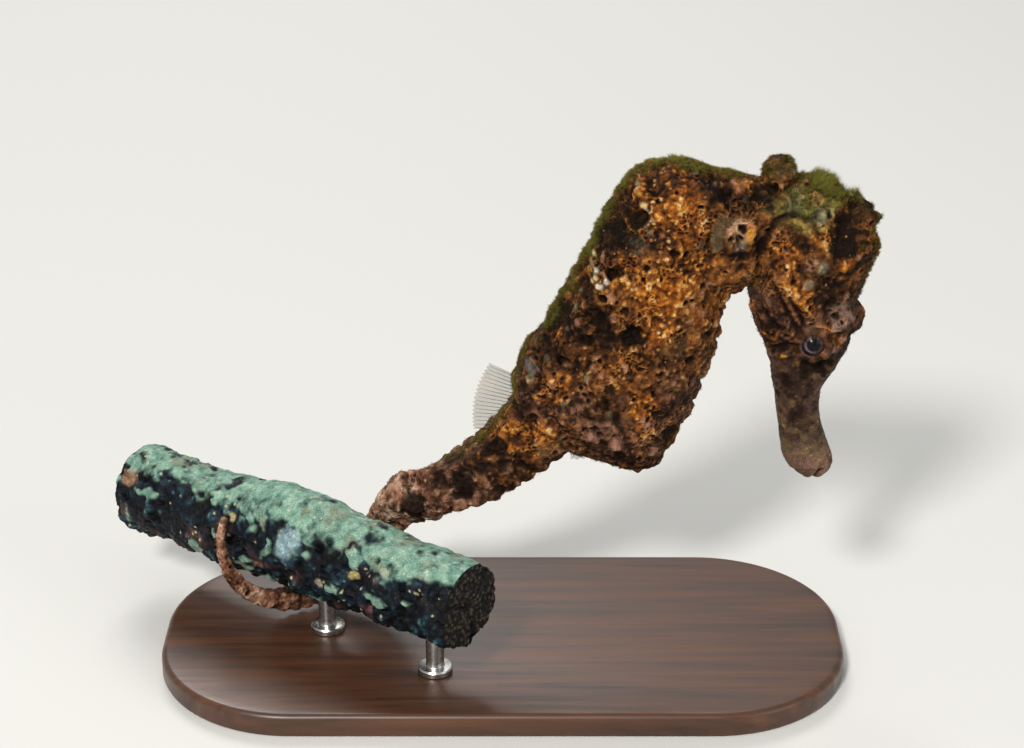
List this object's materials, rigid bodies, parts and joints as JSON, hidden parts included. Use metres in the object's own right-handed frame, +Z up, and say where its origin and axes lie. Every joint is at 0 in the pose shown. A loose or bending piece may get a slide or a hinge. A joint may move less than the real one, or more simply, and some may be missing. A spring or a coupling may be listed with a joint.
{
  "type": "seahorse",
  "caption": "Life-size still model of a rust-brown seahorse with its head tucked down, its tail gripping a cut length of rope on a plain display stand.",
  "frame": {"origin": "middle of the base's underside", "axes": "+Z up, +X the way the belly and forehead face and along the base's length, +Y to the animal's left side, away from the viewer of its right side"},
  "size_m": [0.0836, 0.0385, 0.0573],
  "materials": {
    "skin": "rough encrusted bony skin, rust brown with black-brown blotches and pale flecks, a little moist sheen",
    "eye": "glossy eye, dark pupil with a dull mauve edge, iris streaked brown",
    "fin": "thin translucent membrane between slender rays",
    "rope": "dark blue-black laid rope under silt and pale growths",
    "stand": "dark stained hardwood, satin",
    "rod": "brushed steel"
  },
  "bodies": {
    "root": {"head": "skin", "snout": "skin", "coronet": "skin", "gill_cover_left": "skin", "gill_cover_right": "skin", "neck": "skin", "trunk_upper": "skin", "trunk_lower": "skin", "tail_root": "skin", "tail_upper": "skin", "tail_middle": "skin", "tail_lower": "skin", "tail_tip": "skin", "eye_left": "eye", "eye_right": "eye", "fin_dorsal": "fin", "fin_anal": "fin", "fin_pectoral_left": "fin", "fin_pectoral_right": "fin", "perch_rope": "rope", "stand_base": "stand", "stand_rod_left": "rod", "stand_rod_right": "rod"}
  },
  "joints": []
}
